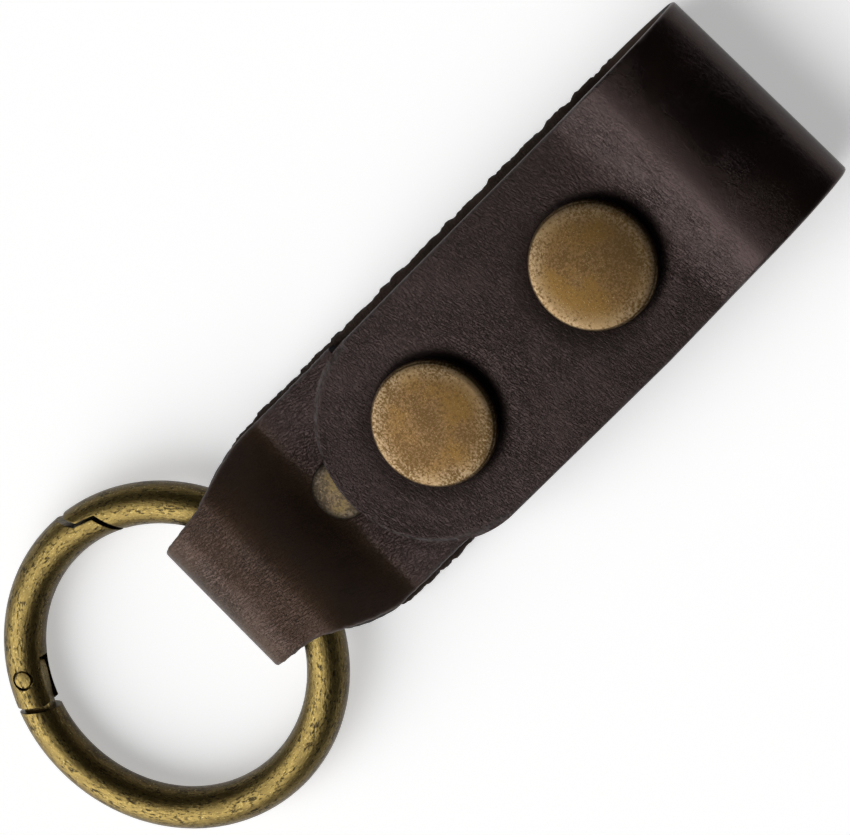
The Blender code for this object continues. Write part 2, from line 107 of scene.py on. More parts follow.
def outlineShape(name, points, height=0.0):
    # a circle with one corner for each point, moved onto the outline
    startFresh()
    fill = "NGON" if height else "NOTHING"
    bpy.ops.mesh.primitive_circle_add(vertices=len(points), radius=1, fill_type=fill)
    piece = bpy.context.object
    piece.name = name
    for vertex, point in zip(piece.data.vertices, points):
        vertex.co = point
    return piece


def turnedPiece(name, profile, steps=96, edge=0.06 * mm):
    # profile is (radius, height) in millimetres, spun about Z
    piece = outlineShape(name, [(r * mm, 0.0, z * mm) for r, z in profile])
    activate(piece)
    bpy.ops.object.mode_set(mode="EDIT")
    bpy.ops.mesh.select_all(action="SELECT")
    bpy.ops.mesh.spin(steps=steps, angle=2 * math.pi, center=(0, 0, 0), axis=(0, 0, 1))
    bpy.ops.mesh.select_all(action="SELECT")
    bpy.ops.mesh.remove_doubles(threshold=0.001 * mm)
    bpy.ops.mesh.delete_loose()
    bpy.ops.mesh.select_all(action="SELECT")
    bpy.ops.mesh.normals_make_consistent(inside=False)
    bpy.ops.object.mode_set(mode="OBJECT")
    softenEdges(piece, edge)
    smoothFaces(piece)
    return piece


def prismPiece(name, points, low, high):
    piece = outlineShape(name, [(x, y, low) for x, y in points], high - low)
    activate(piece)
    bpy.ops.object.mode_set(mode="EDIT")
    bpy.ops.mesh.select_all(action="SELECT")
    lift = {"value": (0, 0, high - low)}
    bpy.ops.mesh.extrude_region_move(TRANSFORM_OT_translate=lift)
    bpy.ops.mesh.select_all(action="SELECT")
    bpy.ops.mesh.normals_make_consistent(inside=False)
    bpy.ops.object.mode_set(mode="OBJECT")
    return piece


def cylinderCutter(radius, low, high, place, sides=64):
    startFresh()
    bpy.ops.mesh.primitive_cylinder_add(vertices=sides, radius=radius, depth=high - low)
    cutter = bpy.context.object
    cutter.matrix_world = place @ Matrix.Translation((0, 0, (low + high) / 2))
    applyPlace(cutter)
    return cutter


def arcPoints(centre, radius, first, last, count):
    turns = [math.radians(first + (last - first) * i / count) for i in range(count + 1)]
    return [(centre[0] + radius * math.cos(a), centre[1] + radius * math.sin(a)) for a in turns]


# Small helpers for materials

def addNode(tree, kind, inputs=None, **settings):
    node = tree.nodes.new(kind)
    for key, value in settings.items():
        setattr(node, key, value)
    for key, value in (inputs or {}).items():
        if isinstance(value, bpy.types.NodeSocket):
            tree.links.new(value, node.inputs[key])
        else:
            node.inputs[key].default_value = value
    return node


def maths(tree, operation, first, second=0.0, clamp=False):
    values = {0: first, 1: second}
    return addNode(tree, "ShaderNodeMath", values, operation=operation, use_clamp=clamp).outputs[0]


def ranged(tree, value, low, high, toLow=0.0, toHigh=1.0):
    values = {0: value, 1: low, 2: high, 3: toLow, 4: toHigh}
    settings = {"interpolation_type": "SMOOTHSTEP"}
    return addNode(tree, "ShaderNodeMapRange", values, **settings).outputs[0]


def mixed(tree, share, first, second, blend="MIX"):
    values = {0: share, 6: first, 7: second}
    settings = {"data_type": "RGBA", "blend_type": blend}
    return addNode(tree, "ShaderNodeMix", values, **settings).outputs[2]


def noiseOf(tree, place, scale, detail=2.0, roughness=0.5, flat=False, warp=0.0):
    values = {"Vector": place, "Scale": scale, "Detail": detail, "Roughness": roughness}
    values["Distortion"] = warp
    settings = {"noise_dimensions": "2D" if flat else "3D"}
    return addNode(tree, "ShaderNodeTexNoise", values, **settings).outputs[0]


def newGroup(name, inputs, outputs):
    group = bpy.data.node_groups.new(name, "ShaderNodeTree")
    for label, kind, value in inputs:
        socket = group.interface.new_socket(label, in_out="INPUT", socket_type=kind)
        if value is not None:
            socket.default_value = value
    for label, kind in outputs:
        group.interface.new_socket(label, in_out="OUTPUT", socket_type=kind)
    return group, group.nodes.new("NodeGroupInput"), group.nodes.new("NodeGroupOutput")


def newMaterial(name):
    material = bpy.data.materials.new(name)
    material.use_nodes = True
    tree = material.node_tree
    shader = tree.nodes["Principled BSDF"]
    place = tree.nodes.new("ShaderNodeTexCoord").outputs["Object"]
    return material, tree, shader, place


def connect(tree, shader, **sockets):
    for label, socket in sockets.items():
        tree.links.new(socket, shader.inputs[label.replace("_", " ")])


print("stage 1: materials")


grainLook = {
    "creaseStretch": (1.3, 2.4, 1.0), "creaseWidth": 0.16, "creaseDepth": 0.62,
    "poreScale": 5200.0, "poreHeight": 0.15, "mottleScale": 95.0,
    "patchScale": 160.0, "patchShare": 0.6, "streakHeight": 0.7, "pebbleDepth": 0.2,
}


def makeLeatherGrain():
    inputs = (
        ("Place", "NodeSocketVector", None),
        ("Streaks", "NodeSocketVector", None),
        ("Pebble Scale", "NodeSocketFloat", 1900.0),
        ("Streak Scale", "NodeSocketFloat", 2.0),
        ("Crease Scale", "NodeSocketFloat", 2.4),
    )
    outputs = (
        ("Height", "NodeSocketFloat"),
        ("Creases", "NodeSocketFloat"),
        ("Mottle", "NodeSocketFloat"),
    )
    group, given, result = newGroup("leatherGrain", inputs, outputs)
    place = given.outputs["Place"]
    streak = noiseOf(
        group, given.outputs["Streaks"], given.outputs["Streak Scale"], 3.0, 0.55, True, 0.5
    )
    drift = addNode(
        group, "ShaderNodeVectorMath", {0: given.outputs["Streaks"], 1: streak}, operation="ADD"
    ).outputs[0]
    values = {0: drift, 1: grainLook["creaseStretch"]}
    drift = addNode(group, "ShaderNodeVectorMath", values, operation="MULTIPLY").outputs[0]
    values = {"Vector": drift, "Scale": given.outputs["Crease Scale"]}
    settings = {"feature": "DISTANCE_TO_EDGE", "voronoi_dimensions": "2D"}
    cell = addNode(group, "ShaderNodeTexVoronoi", values, **settings).outputs["Distance"]
    crease = ranged(group, cell, 0.0, grainLook["creaseWidth"], 1.0, 0.0)
    values = {"Vector": place, "Scale": given.outputs["Pebble Scale"]}
    pebble = addNode(group, "ShaderNodeTexVoronoi", values).outputs["Distance"]
    pore = noiseOf(group, place, grainLook["poreScale"], 2.0)
    mottle = noiseOf(group, place, grainLook["mottleScale"], 3.0, 0.6)
    patchy = ranged(group, noiseOf(group, place, grainLook["patchScale"], 2.0), 0.36, 0.62)
    strength = maths(group, "MULTIPLY", patchy, grainLook["patchShare"])
    strength = maths(group, "ADD", strength, 1 - grainLook["patchShare"])
    sunk = maths(group, "MULTIPLY", crease, strength)
    swell = maths(group, "MULTIPLY", streak, grainLook["streakHeight"])
    height = maths(group, "SUBTRACT", swell, maths(group, "MULTIPLY", sunk, grainLook["creaseDepth"]))
    height = maths(group, "SUBTRACT", height, maths(group, "MULTIPLY", pebble, grainLook["pebbleDepth"]))
    height = maths(group, "ADD", height, maths(group, "MULTIPLY", pore, grainLook["poreHeight"]))
    group.links.new(height, result.inputs["Height"])
    group.links.new(sunk, result.inputs["Creases"])
    group.links.new(mottle, result.inputs["Mottle"])
    return group


wearLook = {"cloudPull": 0.6, "patinaFrom": 0.38, "patinaTo": 0.62}


def makeMetalWear():
    inputs = (
        ("Place", "NodeSocketVector", None),
        ("Fleck Scale", "NodeSocketFloat", 2200.0),
        ("Cloud Scale", "NodeSocketFloat", 160.0),
        ("Darkness", "NodeSocketFloat", 0.5),
    )
    outputs = (
        ("Patina", "NodeSocketFloat"),
        ("Cloud", "NodeSocketFloat"),
        ("Height", "NodeSocketFloat"),
    )
    group, given, result = newGroup("metalWear", inputs, outputs)
    place = given.outputs["Place"]
    fleck = noiseOf(group, place, given.outputs["Fleck Scale"], 4.0, 0.65)
    cloud = noiseOf(group, place, given.outputs["Cloud Scale"], 3.0, 0.55)
    pull = maths(group, "MULTIPLY", maths(group, "SUBTRACT", cloud, 0.5), wearLook["cloudPull"])
    lean = maths(group, "ADD", fleck, pull)
    edge = maths(group, "ADD", lean, maths(group, "SUBTRACT", given.outputs["Darkness"], 0.5))
    patina = ranged(group, edge, wearLook["patinaFrom"], wearLook["patinaTo"])
    group.links.new(patina, result.inputs["Patina"])
    group.links.new(cloud, result.inputs["Cloud"])
    group.links.new(fleck, result.inputs["Height"])
    return group


leatherGrain = makeLeatherGrain()
metalWear = makeMetalWear()


def useGroup(tree, group, **values):
    node = addNode(tree, "ShaderNodeGroup", node_tree=group)
    for label, value in values.items():
        socket = node.inputs[label.replace("_", " ")]
        if isinstance(value, bpy.types.NodeSocket):
            tree.links.new(value, socket)
        else:
            socket.default_value = value
    return node.outputs


ringCentre = 98.05 * mm  # along the strap, from the loop's outside
ringRadius = 18.75 * mm
wearStretch = 0.4


def alongWire(tree, place):
    # the wear on the ring is drawn out along its wire
    centre = (0, loopEnd + ringCentre, 0)
    moved = addNode(tree, "ShaderNodeVectorMath", {0: place, 1: centre}, operation="SUBTRACT")
    axes = addNode(tree, "ShaderNodeSeparateXYZ", {0: moved.outputs[0]}).outputs
    turn = maths(tree, "ARCTAN2", axes["X"], axes["Y"])
    values = {0: moved.outputs[0], 1: (1, 1, 0)}
    flat = addNode(tree, "ShaderNodeVectorMath", values, operation="MULTIPLY")
    reach = addNode(tree, "ShaderNodeVectorMath", {0: flat.outputs[0]}, operation="LENGTH")
    arc = maths(tree, "MULTIPLY", turn, ringRadius * wearStretch)
    values = {"X": arc, "Y": reach.outputs["Value"], "Z": axes["Z"]}
    return addNode(tree, "ShaderNodeCombineXYZ", values).outputs[0]


edgeRubAndHighlight = {"scale": 900.0, "dulling": 0.15}
loopRelief = 0.12  # share of the grain that is left on the smooth belt loop


def leatherMaterial(name, settings):
    material, tree, shader, place = newMaterial(name)
    streaks = addNode(tree, "ShaderNodeUVMap", uv_map="streaks").outputs["UV"]
    grain = useGroup(
        tree, leatherGrain, Place=place, Streaks=streaks,
        Pebble_Scale=settings["pebbleScale"], Streak_Scale=settings["streakScale"],
    )
    warm = ranged(tree, grain["Mottle"], 0.38, 0.66)
    colour = mixed(tree, warm, (*settings["dark"], 1), (*settings["warm"], 1))
    # painted light: the tail's rise towards the ring faces away from the lamp, and is lightened with the
    # tan colours to stand in for light there
    paintedSlopeLight = addNode(tree, "ShaderNodeAttribute", attribute_name="paintedSlopeLight").outputs["Fac"]
    tan = mixed(tree, warm, (*settings["tan"], 1), (*settings["slopeLightWarm"], 1))
    colour = mixed(tree, paintedSlopeLight, colour, tan)
    # painted shade: the colour is darkened towards the crease colour in the grain creases, where shade
    # falls
    creaseShadeShare = maths(tree, "MULTIPLY", grain["Creases"], settings["creaseShade"])
    colour = mixed(tree, creaseShadeShare, colour, (*settings["crease"], 1))
    # painted highlight: the leather near its edges is lightened towards the worn colour, partly edge
    # wear and partly a painted highlight on the rounded edge
    wornAndHighlit = addNode(tree, "ShaderNodeAttribute", attribute_name="wearAndHighlight").outputs["Fac"]
    broken = ranged(tree, noiseOf(tree, place, edgeRubAndHighlight["scale"], 3.0), 0.35, 0.6)
    rubAndHighlight = maths(tree, "MULTIPLY", wornAndHighlit, broken)
    colour = mixed(tree, rubAndHighlight, colour, (*settings["wornAndHighlit"], 1))
    rough = ranged(tree, grain["Mottle"], 0.3, 0.7, *settings["roughness"])
    rough = maths(tree, "ADD", rough, maths(tree, "MULTIPLY", rubAndHighlight, edgeRubAndHighlight["dulling"]), clamp=True)
    smooth = addNode(tree, "ShaderNodeAttribute", attribute_name="smoothed").outputs["Fac"]
    calm = ranged(tree, smooth, 0.0, 1.0, 1.0, settings["smoothShare"])
    rough = maths(tree, "MULTIPLY", rough, calm)
    relief = ranged(tree, smooth, 0.0, 1.0, 1.0, loopRelief)
    height = maths(tree, "MULTIPLY", grain["Height"], relief)
    values = {"Height": height, "Distance": settings["relief"], "Strength": 1.0}
    bump = addNode(tree, "ShaderNodeBump", values).outputs[0]
    connect(tree, shader, Base_Color=colour, Roughness=rough, Normal=bump)
    shader.inputs["Specular IOR Level"].default_value = settings["gloss"]
    shader.inputs["Specular Tint"].default_value = (*settings["shine"], 1)
    return material


speckLook = {"finer": 2.4, "from": 0.6, "to": 0.74, "strength": 0.55}


def brassMaterial(name, settings):
    material, tree, shader, place = newMaterial(name)
    if settings["polar"]:
        place = alongWire(tree, place)
    wear = useGroup(
        tree, metalWear, Place=place, Fleck_Scale=settings["fleckScale"],
        Cloud_Scale=settings["cloudScale"], Darkness=settings["darkness"],
    )
    tone = ranged(tree, wear["Cloud"], 0.35, 0.65)
    clean = mixed(tree, tone, (*settings["bright"], 1), (*settings["rosy"], 1))
    # painted highlight: the worn places are lightened towards the rubbed colour, partly rubbed brass and
    # partly a painted highlight
    rubbedAndHighlit = addNode(tree, "ShaderNodeAttribute", attribute_name="wearAndHighlight").outputs["Fac"]
    uneven = maths(tree, "MULTIPLY", rubbedAndHighlit, ranged(tree, wear["Cloud"], 0.3, 0.6, 0.5, 1.0))
    clean = mixed(tree, uneven, clean, (*settings["rubbedAndHighlit"], 1))
    colour = mixed(tree, wear["Patina"], clean, (*settings["patina"], 1))
    grit = noiseOf(tree, place, settings["fleckScale"] * speckLook["finer"], 2.0)
    speck = ranged(tree, grit, speckLook["from"], speckLook["to"])
    speckShare = maths(tree, "MULTIPLY", speck, speckLook["strength"])
    colour = mixed(tree, speckShare, colour, (*settings["speck"], 1))
    rough = ranged(tree, wear["Patina"], 0.0, 1.0, *settings["roughness"])
    values = {"Height": wear["Height"], "Distance": settings["relief"], "Strength": 1.0}
    bump = addNode(tree, "ShaderNodeBump", values).outputs[0]
    connect(tree, shader, Base_Color=colour, Roughness=rough, Normal=bump)
    shader.inputs["Metallic"].default_value = 1.0
    return material


# in these leather settings, crease is the painted shade colour put into the grain creases
grainSide = {
    "dark": (0.0030, 0.0018, 0.0014), "warm": (0.0065, 0.0036, 0.0024), "crease": (0.001, 0.001, 0.001),
    # in each leather setting, worn is the edge colour: partly edge wear, partly a painted highlight
    "wornAndHighlit": (0.060, 0.055, 0.055), "creaseShade": 0.6, "roughness": (0.36, 0.44), "gloss": 0.45,
    "shine": (1.0, 0.71, 0.67), "relief": 0.085 * mm, "pebbleScale": 2600.0, "streakScale": 3.6,
    # in each leather setting, the two tan colours are painted light for the tail's rising slope
    "tan": (0.054, 0.033, 0.019), "slopeLightWarm": (0.080, 0.047, 0.026), "smoothShare": 0.7,
}
fleshSide = {
    "dark": (0.030, 0.019, 0.014), "warm": (0.052, 0.034, 0.026), "crease": (0.012, 0.008, 0.006),
    "wornAndHighlit": (0.05, 0.04, 0.035), "creaseShade": 0.4, "roughness": (0.85, 0.95), "gloss": 0.2,
    "shine": (1.0, 0.9, 0.85), "relief": 0.14 * mm, "pebbleScale": 3200.0, "streakScale": 4.5,
    "tan": (0.040, 0.027, 0.018), "slopeLightWarm": (0.060, 0.040, 0.028), "smoothShare": 1.0,
}
cutSide = {
    "dark": (0.006, 0.005, 0.005), "warm": (0.014, 0.011, 0.010), "crease": (0.003, 0.003, 0.003),
    "wornAndHighlit": (0.02, 0.018, 0.018), "creaseShade": 0.5, "roughness": (0.7, 0.9), "gloss": 0.25,
    "shine": (1.0, 0.95, 0.95), "relief": 0.2 * mm, "pebbleScale": 2600.0, "streakScale": 3.0,
    "tan": (0.008, 0.007, 0.006), "slopeLightWarm": (0.016, 0.013, 0.011), "smoothShare": 1.0,
}
# in these metal finishes, rubbed is the colour of the worn places, partly rubbed metal and partly a
# painted highlight
capFinish = {
    "bright": (0.128, 0.072, 0.021), "rosy": (0.145, 0.086, 0.044), "patina": (0.092, 0.053, 0.019),
    "speck": (0.36, 0.27, 0.13), "rubbedAndHighlit": (0.26, 0.190, 0.115), "roughness": (0.38, 0.48),
    "relief": 0.008 * mm, "fleckScale": 3600.0, "cloudScale": 190.0, "darkness": 0.5, "polar": False,
}
ringFinish = {
    "bright": (0.075, 0.053, 0.020), "rosy": (0.060, 0.042, 0.018), "patina": (0.034, 0.025, 0.012),
    "speck": (0.60, 0.48, 0.21), "rubbedAndHighlit": (0.25, 0.180, 0.058), "roughness": (0.36, 0.50),
    "relief": 0.05 * mm, "fleckScale": 3900.0, "cloudScale": 1100.0, "darkness": 0.42, "polar": True,
}
darkFinish = {
    "bright": (0.115, 0.082, 0.036), "rosy": (0.105, 0.075, 0.048), "patina": (0.060, 0.046, 0.030),
    "speck": (0.30, 0.23, 0.12), "rubbedAndHighlit": (0.13, 0.11, 0.09), "roughness": (0.42, 0.52),
    "relief": 0.012 * mm, "fleckScale": 2800.0, "cloudScale": 400.0, "darkness": 0.48, "polar": False,
}
steelFinish = {
    "bright": (0.50, 0.50, 0.52), "rosy": (0.44, 0.43, 0.44), "patina": (0.22, 0.21, 0.20),
    "speck": (0.75, 0.75, 0.77), "rubbedAndHighlit": (0.7, 0.7, 0.7), "roughness": (0.28, 0.42),
    "relief": 0.006 * mm, "fleckScale": 4200.0, "cloudScale": 500.0, "darkness": 0.42, "polar": False,
}
leather = leatherMaterial("brownLeather", grainSide)
flesh = leatherMaterial("leatherFleshSide", fleshSide)
cutEdge = leatherMaterial("leatherCutEdge", cutSide)
capBrass = brassMaterial("capBrass", capFinish)
ringBrass = brassMaterial("ringBrass", ringFinish)
darkBrass = brassMaterial("darkBrass", darkFinish)
springSteel = brassMaterial("springSteel", steelFinish)

print("stage 2: leather strap")

strap = {
    "thickness": 2.3 * mm, "gap": 0.3 * mm, "edgeRound": 0.4 * mm, "cell": 0.32 * mm,
    "flapHalf": 13.8 * mm, "backHalf": 13.85 * mm, "tailHalf": 13.35 * mm,
    "flapX": -1.9 * mm, "backX": -0.8 * mm, "neckX": 0.0,
    "loopMiddle": 11.0 * mm, "loopFlat": 19.5 * mm, "bendStart": 33.0 * mm, "bendLength": 11.0 * mm,
    "settleStart": 69.5 * mm, "settleLength": 5.15 * mm, "slope": math.tan(math.radians(4.0)),
    "stack": 3.5 * mm, "tipLift": 0.3 * mm, "liftFrom": 59.5 * mm,
    "flapTip": 67.5 * mm, "flapRound": 13.3 * mm,
    "tailEnd": 57.2 * mm, "tailRise": 70.2 * mm, "tailCrest": 79.4 * mm,
    "neckStart": 72.5 * mm, "neckEnd": 81.5 * mm, "neckInset": 3.0 * mm, "neckTaper": 1.3 * mm,
    "wrapCentre": 82.96 * mm, "wrapCavity": 3.4 * mm, "loopHeight": 12.75 * mm,
    "neckTaperLength": 3 * mm, "seam": 0.02 * mm, "waviness": 0.04 * mm,
    "fray": 0.3 * mm, "frayDepth": 1.2 * mm,
    "loopTaper": 0.85 * mm, "taperLength": 28.0 * mm, "loopSkew": 0.022, "loopStretch": 0.6 * mm,
    "smoothFrom": 8.0 * mm, "smoothLength": 14.0 * mm,
    # where the painted light on the tail's rise begins before the rise, and over what length it fades in
    "slopeLightBefore": 2.5 * mm, "slopeLightLength": 4.5 * mm, "grooveFade": 0.42 * mm, "streakSqueeze": 0.3,
}
ragged = {"coarse": 900, "fine": 2600, "fineShare": 0.8, "outerShare": 0.3}
waves = {"across": 90, "along": 70}
snapX = -2.05 * mm
rivetX = 0.1 * mm
snapPlaces = {"loop": (26.2 * mm, 0.0), "end": (52.5 * mm, math.radians(4.0))}
rivetAlong = 67.9 * mm
wrapMid = strap["wrapCavity"] + strap["thickness"] / 2
wrapHeight = strap["wrapCavity"] + strap["thickness"]
drop = strap["slope"] * (
    strap["settleStart"] - strap["bendStart"] - strap["bendLength"] / 2 + strap["settleLength"] / 2
)
snapBack = strap["thickness"] / 2 + drop
snapFlap = snapBack + strap["thickness"] + strap["stack"]


def eased(low, high, share):
    share = min(1.0, max(0.0, share))
    return low + (high - low) * (1 - math.cos(math.pi * share)) / 2


def slopeDrop(along):
    bend = min(1.0, max(0.0, (along - strap["bendStart"]) / strap["bendLength"]))
    run = min(along, strap["settleStart"]) - strap["bendStart"] - strap["bendLength"]
    settle = min(1.0, max(0.0, (along - strap["settleStart"]) / strap["settleLength"]))
    rounded = strap["bendLength"] * bend**2 / 2
    return strap["slope"] * (
        rounded + max(0.0, run) + strap["settleLength"] * (settle - settle**2 / 2)
    )


def loopShare(along):
    return (along - strap["loopMiddle"]) / (strap["loopFlat"] - strap["loopMiddle"])


def backHeight(along):
    if along < strap["loopFlat"]:
        return eased(strap["thickness"] / 2, snapBack, loopShare(along))
    return snapBack - slopeDrop(along)


def flapHeight(along):
    if along < strap["loopFlat"]:
        return eased(strap["loopHeight"] - strap["thickness"] / 2, snapFlap, loopShare(along))
    share = (along - strap["liftFrom"]) / (strap["flapTip"] - strap["liftFrom"])
    return snapFlap - slopeDrop(along) + eased(0.0, strap["tipLift"], share)


def tailHeight(along):
    flat = backHeight(min(along, strap["tailRise"])) + strap["thickness"] + strap["gap"]
    share = (along - strap["tailRise"]) / (strap["tailCrest"] - strap["tailRise"])
    return eased(flat, wrapHeight + wrapMid, share)


def neckInset(along):
    share = (along - strap["neckStart"]) / (strap["neckEnd"] - strap["neckStart"])
    start = strap["neckEnd"] - strap["neckTaperLength"]
    taper = (along - start) / (strap["wrapCentre"] + wrapMid - start)
    narrowing = strap["neckTaper"] * min(1.0, max(0.0, taper))
    return eased(0.0, strap["neckInset"], share) + narrowing


def neckShift(along):
    share = (along - strap["neckStart"]) / (strap["wrapCentre"] - strap["neckStart"])
    return eased(strap["backX"], strap["neckX"], share)


def steps(first, last, size):
    count = max(1, round(abs(last - first) / size))
    return [first + (last - first) * i / count for i in range(count + 1)]


# a station is (along, height, centre, half width)

def holderStations():
    cell, stations = strap["cell"], []
    for along in steps(strap["tailEnd"], strap["wrapCentre"], cell):
        half = strap["tailHalf"] - neckInset(along)
        stations.append((along, tailHeight(along), neckShift(along), half))
    for turn in steps(math.pi / 2, -math.pi / 2, cell / wrapMid)[1:-1]:
        along = strap["wrapCentre"] + wrapMid * math.cos(turn)
        full = eased(strap["backHalf"], strap["tailHalf"], turn / math.pi + 0.5)
        half = full - neckInset(along)
        stations.append((along, wrapHeight + wrapMid * math.sin(turn), neckShift(along), half))
    for along in steps(strap["wrapCentre"], strap["loopMiddle"] + strap["seam"], cell):
        half = strap["backHalf"] - neckInset(along)
        stations.append((along, backHeight(along), neckShift(along), half))
    return stations


def flapStations():
    cell, stations = strap["cell"], []
    across = strap["loopMiddle"] - strap["thickness"] / 2
    rise = (strap["loopHeight"] - strap["thickness"]) / 2
    for turn in steps(math.radians(269.9), math.radians(90), cell / across)[:-1]:
        along = strap["loopMiddle"] + across * math.cos(turn)
        share = math.degrees(turn) / 180 - 0.5
        centre = eased(strap["flapX"], strap["backX"], share)
        half = eased(strap["flapHalf"], strap["backHalf"], share)
        stations.append((along, strap["loopHeight"] / 2 + rise * math.sin(turn), centre, half))
    roundStart = strap["flapTip"] - strap["flapRound"]
    for along in steps(strap["loopMiddle"], roundStart, cell):
        stations.append((along, flapHeight(along), strap["flapX"], strap["flapHalf"]))
    for turn in steps(0.0, math.radians(87.5), cell / strap["flapRound"])[1:]:
        along = roundStart + strap["flapRound"] * math.sin(turn)
        half = strap["flapHalf"] * math.cos(turn)
        stations.append((along, flapHeight(along), strap["flapX"], half))
    return stations


def columnShares(columns):
    # closer columns beside both edges, so that the rounded edge is smooth
    edge = [0.0, 0.004, 0.012, 0.024, 0.04]
    inner = columns - 2 * len(edge)
    middle = [edge[-1] + (1 - 2 * edge[-1]) * i / (inner + 2) for i in range(1, inner + 2)]
    shares = edge + middle + [1 - value for value in reversed(edge)]
    return [2 * value - 1 for value in shares]


def pressed(along, x, spots):
    # how far the outer face is pushed in round a cap
    depth = 0.0
    for spotAlong, spotX, inner, outer, full, groove in spots:
        reach = math.hypot(along - spotAlong, x - spotX)
        depth += eased(full, 0.0, (reach - inner) / (outer - inner))
        depth += groove * math.exp(-max(0.0, reach - inner) / strap["grooveFade"])
    return depth


def leatherSheet(name, stations, spots, tipStart, frayed):
    rows, columns = len(stations) - 1, 74
    startFresh()
    bpy.ops.mesh.primitive_grid_add(x_subdivisions=columns, y_subdivisions=rows, size=2)
    sheet = bpy.context.object
    sheet.name = name
    shares = columnShares(columns)
    thin = sheet.vertex_groups.new(name="thickness")
    wear, paintedSlopeLight, smoothed = [], [], []
    half = strap["thickness"] / 2
    length, lengths = 0.0, [0.0]
    for one, two in zip(stations, stations[1:]):
        length += math.hypot(two[0] - one[0], two[1] - one[1])
        lengths.append(length)
    flat = {}
    for vertex in sheet.data.vertices:
        column = round((vertex.co.x + 1) / 2 * columns)
        row = round((vertex.co.y + 1) / 2 * rows)
        along, height, centre, width = stations[row]
        before, after = stations[max(0, row - 1)], stations[min(rows, row + 1)]
        tangent = Vector((0, after[0] - before[0], after[1] - before[1])).normalized()
        outward = Vector((0, -tangent.z, tangent.y))
        narrow = strap["loopTaper"] / 2 * max(0.0, 1 - along / strap["taperLength"])
        centre, width = centre + narrow, width - narrow
        x = centre + shares[column] * width
        bent = eased(1.0, 0.0, along / strap["loopFlat"])
        skew = bent * (strap["loopSkew"] * (x - strap["flapHalf"]) - strap["loopStretch"] / 2)
        margin = width - abs(x - centre)
        if tipStart is not None and along > tipStart and outward.z > 0:
            reach = math.hypot(x - centre, along - tipStart)
            margin = max(0.0, strap["flapRound"] - reach)
            margin = margin if margin > 0.012 * mm else 0.0
        closeness = max(0.0, 1 - margin / strap["edgeRound"])
        rounding = strap["edgeRound"] * (1 - math.sqrt(max(0.0, 1 - closeness**2)))
        push = pressed(along, x, spots) if outward.z > 0 else 0.0
        if margin < strap["frayDepth"] and frayed:
            side = math.copysign(1, x - centre)
            coarse = noise.noise(Vector((lengths[row] * ragged["coarse"], side, 3.7)))
            fine = noise.noise(Vector((lengths[row] * ragged["fine"], side, 9.1)))
            fade = 1 - margin / strap["frayDepth"]
            if outward.z > -0.3:
                fade *= ragged["outerShare"]
            x += side * fade * strap["fray"] * (coarse + ragged["fineShare"] * fine)
        wave = noise.noise(Vector((x * waves["across"], lengths[row] * waves["along"], 5.0)))
        lift = strap["waviness"] * wave - push / 2
        vertex.co = Vector((x, loopEnd + along + skew, height)) + outward * lift
        share = 1 - rounding / half - push / 2 / half
        thin.add([vertex.index], share, "REPLACE")
        # closeness to the edge is the mask of the edge wear and of the painted edge highlight
        wear.append(closeness)
        # painted light: the tail's rise is lightened from a little before the rise onwards
        slopeLightAlong = along - strap["tailRise"] + strap["slopeLightBefore"]
        paintedSlopeLight.append(eased(0.0, 1.0, slopeLightAlong / strap["slopeLightLength"]))
        smoothed.append(eased(1.0, 0.0, (along - strap["smoothFrom"]) / strap["smoothLength"]))
        flat[vertex.index] = (x, lengths[row], outward.z > -0.5)
    for label, values in (("wearAndHighlight", wear), ("paintedSlopeLight", paintedSlopeLight), ("smoothed", smoothed)):
        sheet.data.attributes.new(label, "FLOAT", "POINT").data.foreach_set("value", values)
    writeStreaks(sheet, flat, name == "leather_holder_strap")
    for material in (leather, cutEdge, flesh):
        sheet.data.materials.append(material)
    applyModifier(
        sheet, "SOLIDIFY", thickness=strap["thickness"], offset=0.0, vertex_group="thickness",
        use_rim=True, material_offset=2, material_offset_rim=1,
    )
    return sheet


def writeStreaks(sheet, flat, lengthwise):
    # streaks run across the flap, and lengthwise on the tail and the neck
    layer = sheet.data.uv_layers[0]
    layer.name = "streaks"
    for face in sheet.data.polygons:
        corners = [flat[index] for index in face.vertices]
        onTail = lengthwise and all(corner[2] for corner in corners)
        for loop, (x, length, _) in zip(face.loop_indices, corners):
            lean = 0.5 * x if onTail else 0.0
            first, second = (x, length + lean) if onTail else (length, x)
            layer.data[loop].uv = (first / mm, second / mm * strap["streakSqueeze"])


def stackPlace(along, height, x, tilt):
    return Matrix.Translation((x, loopEnd + along, height)) @ Matrix.Rotation(-tilt, 4, "X")


def snapMatrix(end):
    along, tilt = snapPlaces[end]
    return stackPlace(along, backHeight(along) + strap["thickness"] / 2, snapX, tilt)


rivetMatrix = stackPlace(
    rivetAlong, backHeight(rivetAlong) - strap["thickness"] / 2, rivetX, math.radians(4.0)
)


# radii of the holes and seats that are cut into the leather
holes = {"eyelet": 1.6 * mm, "rivet": 1.7 * mm, "rivetSeat": 3.8 * mm, "socketSeat": 6.7 * mm}
# inner and outer radius of the dent round a piece of metal, its depth and its groove
dents = {
    "cap": (7.4 * mm, 10.4 * mm, 0.3 * mm, 0.55 * mm),
    "rivet": (3.5 * mm, 7.5 * mm, 0.3 * mm, 0.15 * mm),
}


